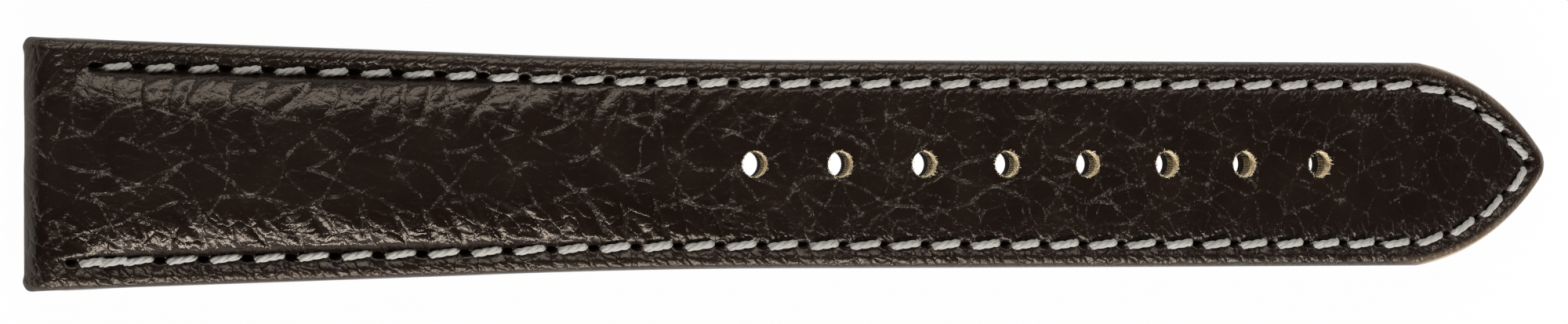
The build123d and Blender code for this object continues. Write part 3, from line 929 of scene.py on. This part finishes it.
dyed_cut = cut_finish("dyed_edge", 3800.0, 0.7, (0.007, 0.003, 0.0014), (0.036, 0.019, 0.008),
                      Roughness=0.9, Specular_IOR_Level=0.15)
cut_away(lining, tongue_punches(), skin_leather, dyed_cut)
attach(lining, "root")
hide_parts("lining_leather")


# Stitches
# A lockstitch in thick waxed thread: three plies twisted together, drawn tight into the leather
# over each stitch and down into the next needle hole, above and again below.

ply_count, ply_radius, ply_offset, twist_length = 3, 0.195, 0.105, 2.3
twist_width, twist_height, ply_height = 1.12, 0.82, 0.9
hole_room, flat_half, thread_arch, dive_depth = 0.66, 0.75, 0.05, 1.5
stitch_parts = bpy.data.collections.new("stitch_parts")


def stitch_mesh(name, phase):
    """One stitch of three plies, centred over its middle and diving into a hole at each end."""
    rings, around, end_spread = 34, 8, 0.88
    half = (stitch_pitch - hole_room) / 2
    x = np.sin(np.linspace(-1, 1, rings) * pi / 2 * end_spread) / sin(pi / 2 * end_spread) * half
    dive = np.clip((np.abs(x) - flat_half) / (half - flat_half), 0, 1)
    z = thread_arch * np.cos(x / (2 * half) * pi) - dive_depth * dive**1.5
    line = np.stack([x, np.zeros(rings), z], 1)
    along = np.gradient(line, axis=0)
    along /= np.linalg.norm(along, axis=1)[:, None]
    aside = np.array([0, 1.0, 0])
    up = np.cross(aside, along)
    run = np.concatenate([[0], np.cumsum(np.linalg.norm(np.diff(line, axis=0), axis=1))])
    ring = np.linspace(0, 2 * pi, around, endpoint=False)[:, None]
    points, faces = [], []
    for ply in range(ply_count):
        turn = (phase + run / twist_length * 2 * pi + ply * 2 * pi / ply_count)[:, None]
        middle = line + ply_offset * (twist_width * np.cos(turn) * aside + twist_height * np.sin(turn) * up)
        round_ply = np.cos(ring) * aside + ply_height * np.sin(ring) * up[:, None]
        tube = middle[:, None] + ply_radius * round_ply
        points.append(tube.reshape(-1, 3))
        index = ply * rings * around + np.arange(rings * around).reshape(rings, around)
        index = np.concatenate([index, index[:, :1]], 1)
        faces += [[a, d, c, b] for a, b, c, d in grid_faces(index)]
        faces += [list(index[0, :-1]), list(index[-1, -2::-1])]
    mesh = bpy.data.meshes.new(name)
    mesh.from_pydata((np.concatenate(points) * mm).tolist(), [], faces)
    mesh.shade_smooth()
    return mesh


variant_count, variant_turn = 4, 0.55
for variant in range(variant_count):
    mesh = stitch_mesh(f"stitch_{variant}", variant * variant_turn)
    stitch_parts.objects.link(bpy.data.objects.new(f"stitch_{variant}", mesh))


def node_group(name, sizes):
    """A geometry tree with its named inputs, and the start of its values."""
    tree = bpy.data.node_groups.new(name, "GeometryNodeTree")
    tree.interface.new_socket("Geometry", in_out="INPUT", socket_type="NodeSocketGeometry")
    names = {}
    for label, (kind, _) in sizes.items():
        names[label] = tree.interface.new_socket(label, in_out="INPUT", socket_type=kind).identifier
    tree.interface.new_socket("Geometry", in_out="OUTPUT", socket_type="NodeSocketGeometry")
    start = tree.nodes.new("NodeGroupInput")
    return tree, names, {socket.name: Finish(tree, socket) for socket in start.outputs}


def end_group(tree, copies, finish):
    """Ends a geometry tree: its copies are made real and given their finish."""
    values = Finish(tree)
    real = values.node("GeometryNodeRealizeInstances", {"Geometry": copies})
    done = values.node("GeometryNodeSetMaterial", {"Geometry": real, "Material": finish})
    tree.links.new(done.socket, tree.nodes.new("NodeGroupOutput").inputs[0])


def grown(name, points, crease_sheen_marks, group, sizes):
    """A piece with the plain mesh that a geometry tree makes over points, which carry values."""
    tree, names = group
    mesh = bpy.data.meshes.new(name)
    mesh.from_pydata(points, [], [])
    for label, numbers in crease_sheen_marks.items():
        numbers = np.array(numbers, np.float32)
        kind, field = ("FLOAT", "value") if numbers.ndim == 1 else ("FLOAT_VECTOR", "vector")
        mesh.attributes.new(label, kind, "POINT").data.foreach_set(field, numbers.ravel())
    piece = placed(name, mesh)
    grow = piece.modifiers.new("grow", "NODES")
    grow.node_group = tree
    for label, (_, value) in sizes.items():
        grow[names[label]] = value
    done = evaluated_mesh(piece)
    piece.modifiers.clear()
    piece.data = done
    return piece


waxed, values, shader = new_finish("waxed_thread")
fuzz, soil = values.noise(values.spot(), 9000.0, 3.0), values.noise(values.spot(), 260.0, 4.0)
body = soil.between(0.4, 0.75).over((0.52, 0.495, 0.45), (0.44, 0.415, 0.37))
body = fuzz.between(0.6, 0.8).over(body, (0.40, 0.37, 0.31))
connect(values, shader, Base_Color=body, Roughness=0.62, Normal=values.bump(fuzz, 0.00006))

stitch_sizes = {
    "Stitch": ("NodeSocketCollection", stitch_parts),
    "Plumpness": ("NodeSocketFloat", 1.0),
    "Unevenness": ("NodeSocketFloat", 0.06),
    "Seed": ("NodeSocketInt", 5),
    "Thread": ("NodeSocketMaterial", waxed),
}
tree, names, given = node_group("lockstitch", stitch_sizes)
lockstitch = (tree, names)
values = Finish(tree)
turn = values.node("GeometryNodeInputNamedAttribute", {"Name": "turn"}, data_type="FLOAT_VECTOR")
turn = values.node("FunctionNodeEulerToRotation", {0: turn})
reach = values.node("GeometryNodeInputNamedAttribute", {"Name": "reach"}, data_type="FLOAT")
inputs = {"Min": 0, "Max": variant_count - 1, "Seed": given["Seed"]}
variant = values.node("FunctionNodeRandomValue", inputs, output=2, data_type="INT")
uneven = values.node("FunctionNodeRandomValue", {"Seed": given["Seed"]}, output=1, data_type="FLOAT")
thick = given["Plumpness"] * (1 + given["Unevenness"] * (uneven * 2 - 1))
scale = values.node("ShaderNodeCombineXYZ", {"X": reach * (1.5 - 0.5 * thick), "Y": thick, "Z": thick})
inputs = {"Collection": given["Stitch"], "Separate Children": True, "Reset Children": True}
stock = values.node("GeometryNodeCollectionInfo", inputs)
inputs = {"Points": given["Geometry"], "Instance": stock, "Pick Instance": True,
          "Instance Index": variant, "Rotation": turn, "Scale": scale}
end_group(tree, values.node("GeometryNodeInstanceOnPoints", inputs), given["Thread"])

thread_lift, back_stitch_lift, tail_growth, growth_end = 0.02, 0.05, 0.07, 90


def sew(name, node, level_at, away, lean):
    """One thread's stitches, each between two needle holes and turned a little off the seam."""
    points, turns, reaches = [], [], []
    holes = list(zip(hole_places, hole_sides))
    for (place, side), (next_place, next_side) in zip(holes, holes[1:]):
        middle = (next_place + place) / 2
        heading = atan2(next_side - side, next_place - place) + lean
        turn = middle / set_radius - crest_turn
        x, z = bent(middle, float(level_at(middle)))
        out = Vector((sin(turn), 0, cos(turn))) * away
        forward = Vector((cos(turn), 0, -sin(turn)))
        rise = float(level_at(middle + 0.5) - level_at(middle - 0.5))
        climb = forward + out * away * rise
        along = (climb * cos(heading) + Vector((0, 1, 0)) * sin(heading)).normalized()
        across = out.cross(along).normalized()
        matrix = Matrix((along, across, along.cross(across))).transposed()
        points.append(Vector((float(x), (next_side + side) / 2, float(z))) * mm)
        turns.append(matrix.to_euler("XYZ"))
        length = hypot(next_place - place, next_side - side)
        reaches.append(length / stitch_pitch * (1 + tail_growth * min(middle / growth_end, 1)))
    if away > 0:
        # The seam ends with a back stitch over its last two
        points.append((points[-1] + points[-2]) / 2 + Vector((0, 0, back_stitch_lift * mm)))
        turns.append(turns[-1])
        reaches.append(1.0)
    piece = grown(name, points, {"turn": turns, "reach": reaches}, lockstitch, stitch_sizes)
    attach(piece, "root")
    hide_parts(node)


sew("needle_stitches", "needle_thread", lambda at: grain_level(at) + thread_lift, 1, 0.14)
sew("bobbin_stitches", "bobbin_thread", lambda at: 0 * at - lining_wall - thread_lift, -1, 0.05)


# Inner pieces
# What the upper is wrapped round: a foam pad under the crown, the dyed leather board, a woven
# tape that stops the strap from stretching, and the strip that the spring bar bears on.

foam, values, shader = new_finish("pad_foam")
bubbles = values.node("ShaderNodeTexVoronoi", {"Vector": values.spot(), "Scale": 3000.0}, feature="F1")
body = bubbles.over((0.05, 0.05, 0.055), (0.12, 0.12, 0.13))
connect(values, shader, Base_Color=body, Roughness=0.9, Normal=values.bump(bubbles, 0.0002, 0.7))
pad = solid_copy("padding", "pad_filling")
dress(pad, foam)
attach(pad, "root")
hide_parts("padding")

# The bar's strip is trimmed flush with the strap's sides, which taper from the lug end
trim = 0.12
strip = solid_copy("bar_loop", "bar_strip")
for vertex in strip.data.vertices:
    at = place_of(vertex.co.x / mm, vertex.co.z / mm)
    flush = (float(half_width(at)) - trim) * mm
    vertex.co.y = min(max(vertex.co.y, -flush), flush)
dress(strip, dyed_cut)
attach(strip, "root")
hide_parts("bar_loop")

woven, values, shader = new_finish("woven_tape")
weft = values.node("ShaderNodeTexWave", {"Vector": values.spot(), "Scale": 900.0, "Distortion": 0.4})
body = weft.over((0.42, 0.40, 0.36), (0.62, 0.60, 0.55))
connect(values, shader, Base_Color=body, Roughness=0.8, Normal=values.bump(weft, 0.00005, 0.8))
for node, finish in (("core_board", dyed_cut), ("reinforcement_tape", woven)):
    for slot in frame["nodes"][node].material_slots:
        slot.link, slot.material = "OBJECT", finish


# Punched edges
# The punch leaves a collar of loose tan fibres where it breaks the finished grain.

loose, values, shader = new_finish("loose_fibre")
shade = values.noise(values.spot(), 2600.0, 2.0)
body = shade.between(0.35, 0.65).over((0.62, 0.47, 0.26), (1.0, 0.92, 0.72))
connect(values, shader, Base_Color=body, Roughness=0.7)

root_radius, end_radius, strand_length, strand_lift, strand_bend = 0.034, 0.014, 0.24, 0.05, 0.5
strand = bmesh.new()
bmesh.ops.create_cone(strand, cap_ends=True, segments=4, radius1=root_radius * mm,
                      radius2=end_radius * mm, depth=strand_length * mm)
for vertex in strand.verts:
    vertex.co.z += strand_lift * mm
    vertex.co.x += vertex.co.z**2 / (strand_bend * mm)
strand_mesh = bpy.data.meshes.new("strand")
strand.to_mesh(strand_mesh)
strand.free()

fibre_sizes = {
    "Strand": ("NodeSocketObject", bpy.data.objects.new("strand", strand_mesh)),
    "Ragged": ("NodeSocketFloat", 0.9),
    "Spread": ("NodeSocketFloat", 0.7),
    "Seed": ("NodeSocketInt", 3),
    "Fibre": ("NodeSocketMaterial", loose),
}
tree, names, given = node_group("punched_fibres", fibre_sizes)
values = Finish(tree)
lie = values.node("GeometryNodeInputNamedAttribute", {"Name": "turn"}, data_type="FLOAT_VECTOR")
tilt = values.node("FunctionNodeRandomValue", {"Seed": given["Seed"]}, data_type="FLOAT_VECTOR")
tilt = values.vector_maths("SUBTRACT", {0: tilt, 1: (0.5, 0.5, 0.5)})
tilt = values.vector_maths("SCALE", {0: tilt, "Scale": given["Spread"] * 2})
lie = values.node("FunctionNodeEulerToRotation", {0: values.vector_maths("ADD", {0: lie, 1: tilt})})
inputs = {"Seed": given["Seed"] + 1}
length = values.node("FunctionNodeRandomValue", inputs, output=1, data_type="FLOAT")
stock = values.node("GeometryNodeObjectInfo", {"Object": given["Strand"]}, output="Geometry")
inputs = {"Points": given["Geometry"], "Instance": stock, "Rotation": lie,
          "Scale": 0.45 + length**3 * given["Ragged"]}
end_group(tree, values.node("GeometryNodeInstanceOnPoints", inputs), given["Fibre"])

fibres_per_hole, fibre_spread, fibre_level = 260, 0.22, 0.03
random = np.random.default_rng(41)
points, turns = [], []
for i in range(hole_count):
    at = first_hole + i * hole_pitch
    bend = at / set_radius - crest_turn
    up = Vector((sin(bend), 0, cos(bend)))
    for _ in range(fibres_per_hole):
        way, level = random.uniform(0, 2 * pi), border_level - abs(random.normal(0, fibre_spread))
        reach = hole_radius * random.uniform(0.97, 1.06)
        x, z = bent(at + reach * cos(way), level + fibre_level)
        points.append(Vector((float(x), reach * sin(way), float(z))) * mm)
        out = Vector((cos(bend) * cos(way), sin(way), -sin(bend) * cos(way)))
        rise = (up * random.uniform(0.4, 1.6) + out * random.uniform(-0.7, 0.5)).normalized()
        turns.append(rise.to_track_quat("Z", "Y").to_euler())
fibres = grown("hole_fibres", points, {"turn": turns}, (tree, names), fibre_sizes)
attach(fibres, "root")


# Floor, light and camera
# A plain pale table top, two long soft lamps along the strap's sides, and a long-lens camera that
# looks down on the grain side, tipped towards the lug end.

floor_half, floor_gap, shown_white = 3.0, 0.00002, 0.97
ground = float(cad_low.z) - floor_gap
corners = [(x * floor_half, y * floor_half, ground) for x, y in ((-1, -1), (1, -1), (1, 1), (-1, 1))]
floor_mesh = bpy.data.meshes.new("table_top")
floor_mesh.from_pydata(corners, [], [(0, 1, 2, 3)])
floor = placed("table_top", floor_mesh)

# The table shows the camera, mirrors and clear things a white that keeps a trace of its shadow
pale, values, shader = new_finish("pale_table")
connect(values, shader, Base_Color=(0.86, 0.86, 0.86, 1), Roughness=0.6)
camera_ray, glossy_ray, clear_ray = (values.node("ShaderNodeLightPath", output=i) for i in (0, 3, 4))
share = values.maths("MAXIMUM", camera_ray, values.maths("MAXIMUM", glossy_ray, clear_ray)) * shown_white
white = values.node("ShaderNodeEmission", {"Color": (1, 1, 1, 1), "Strength": 1.0})
lit_table = Finish(values.tree, shader.outputs[0])
mixed = values.node("ShaderNodeMixShader", {0: share, 1: lit_table, 2: white})
values.tree.links.new(mixed.socket, values.tree.nodes["Material Output"].inputs["Surface"])
floor_mesh.materials.append(pale)

world = bpy.data.worlds.new("soft_room")
bpy.context.scene.world = world
world.use_nodes = True
backdrop = world.node_tree.nodes["Background"]
backdrop.inputs["Color"].default_value = (1, 1, 1, 1)
backdrop.inputs["Strength"].default_value = 0.05
strap_middle = Vector((0.062, 0.0, 0.008))


def lamp(name, place, size, power):
    """An oblong soft lamp turned to the middle of the strap."""
    light = bpy.data.lights.new(name, "AREA")
    light.shape, light.size, light.size_y, light.energy = "RECTANGLE", size[0], size[1], power
    made = placed(name, light)
    made.location = place
    made.rotation_euler = (strap_middle - Vector(place)).to_track_quat("-Z", "Y").to_euler()


lamp("far_lamp", (0.062, 0.44, 0.38), (0.9, 0.23), 2.6)
lamp("near_lamp", (0.062, -0.50, 0.29), (0.9, 0.05), 5.2)

camera = placed("camera", bpy.data.cameras.new("camera"))
bpy.context.scene.camera = camera
camera.data.lens, camera.data.sensor_width = 287.9, 36.0
camera.data.clip_start, camera.data.clip_end = 0.05, 20.0
aim, distance, tilt = Vector((0.05956, 0.00017, 0.0045)), 1.0, radians(19.5)
toward = Vector((-sin(tilt), 0.0, cos(tilt)))
rightward = Vector((toward.z, 0.0, -toward.x))
camera.matrix_world = Matrix((rightward, toward.cross(rightward), toward)).transposed().to_4x4()
camera.location = aim + toward * distance
bpy.context.scene.view_settings.view_transform = "Standard"
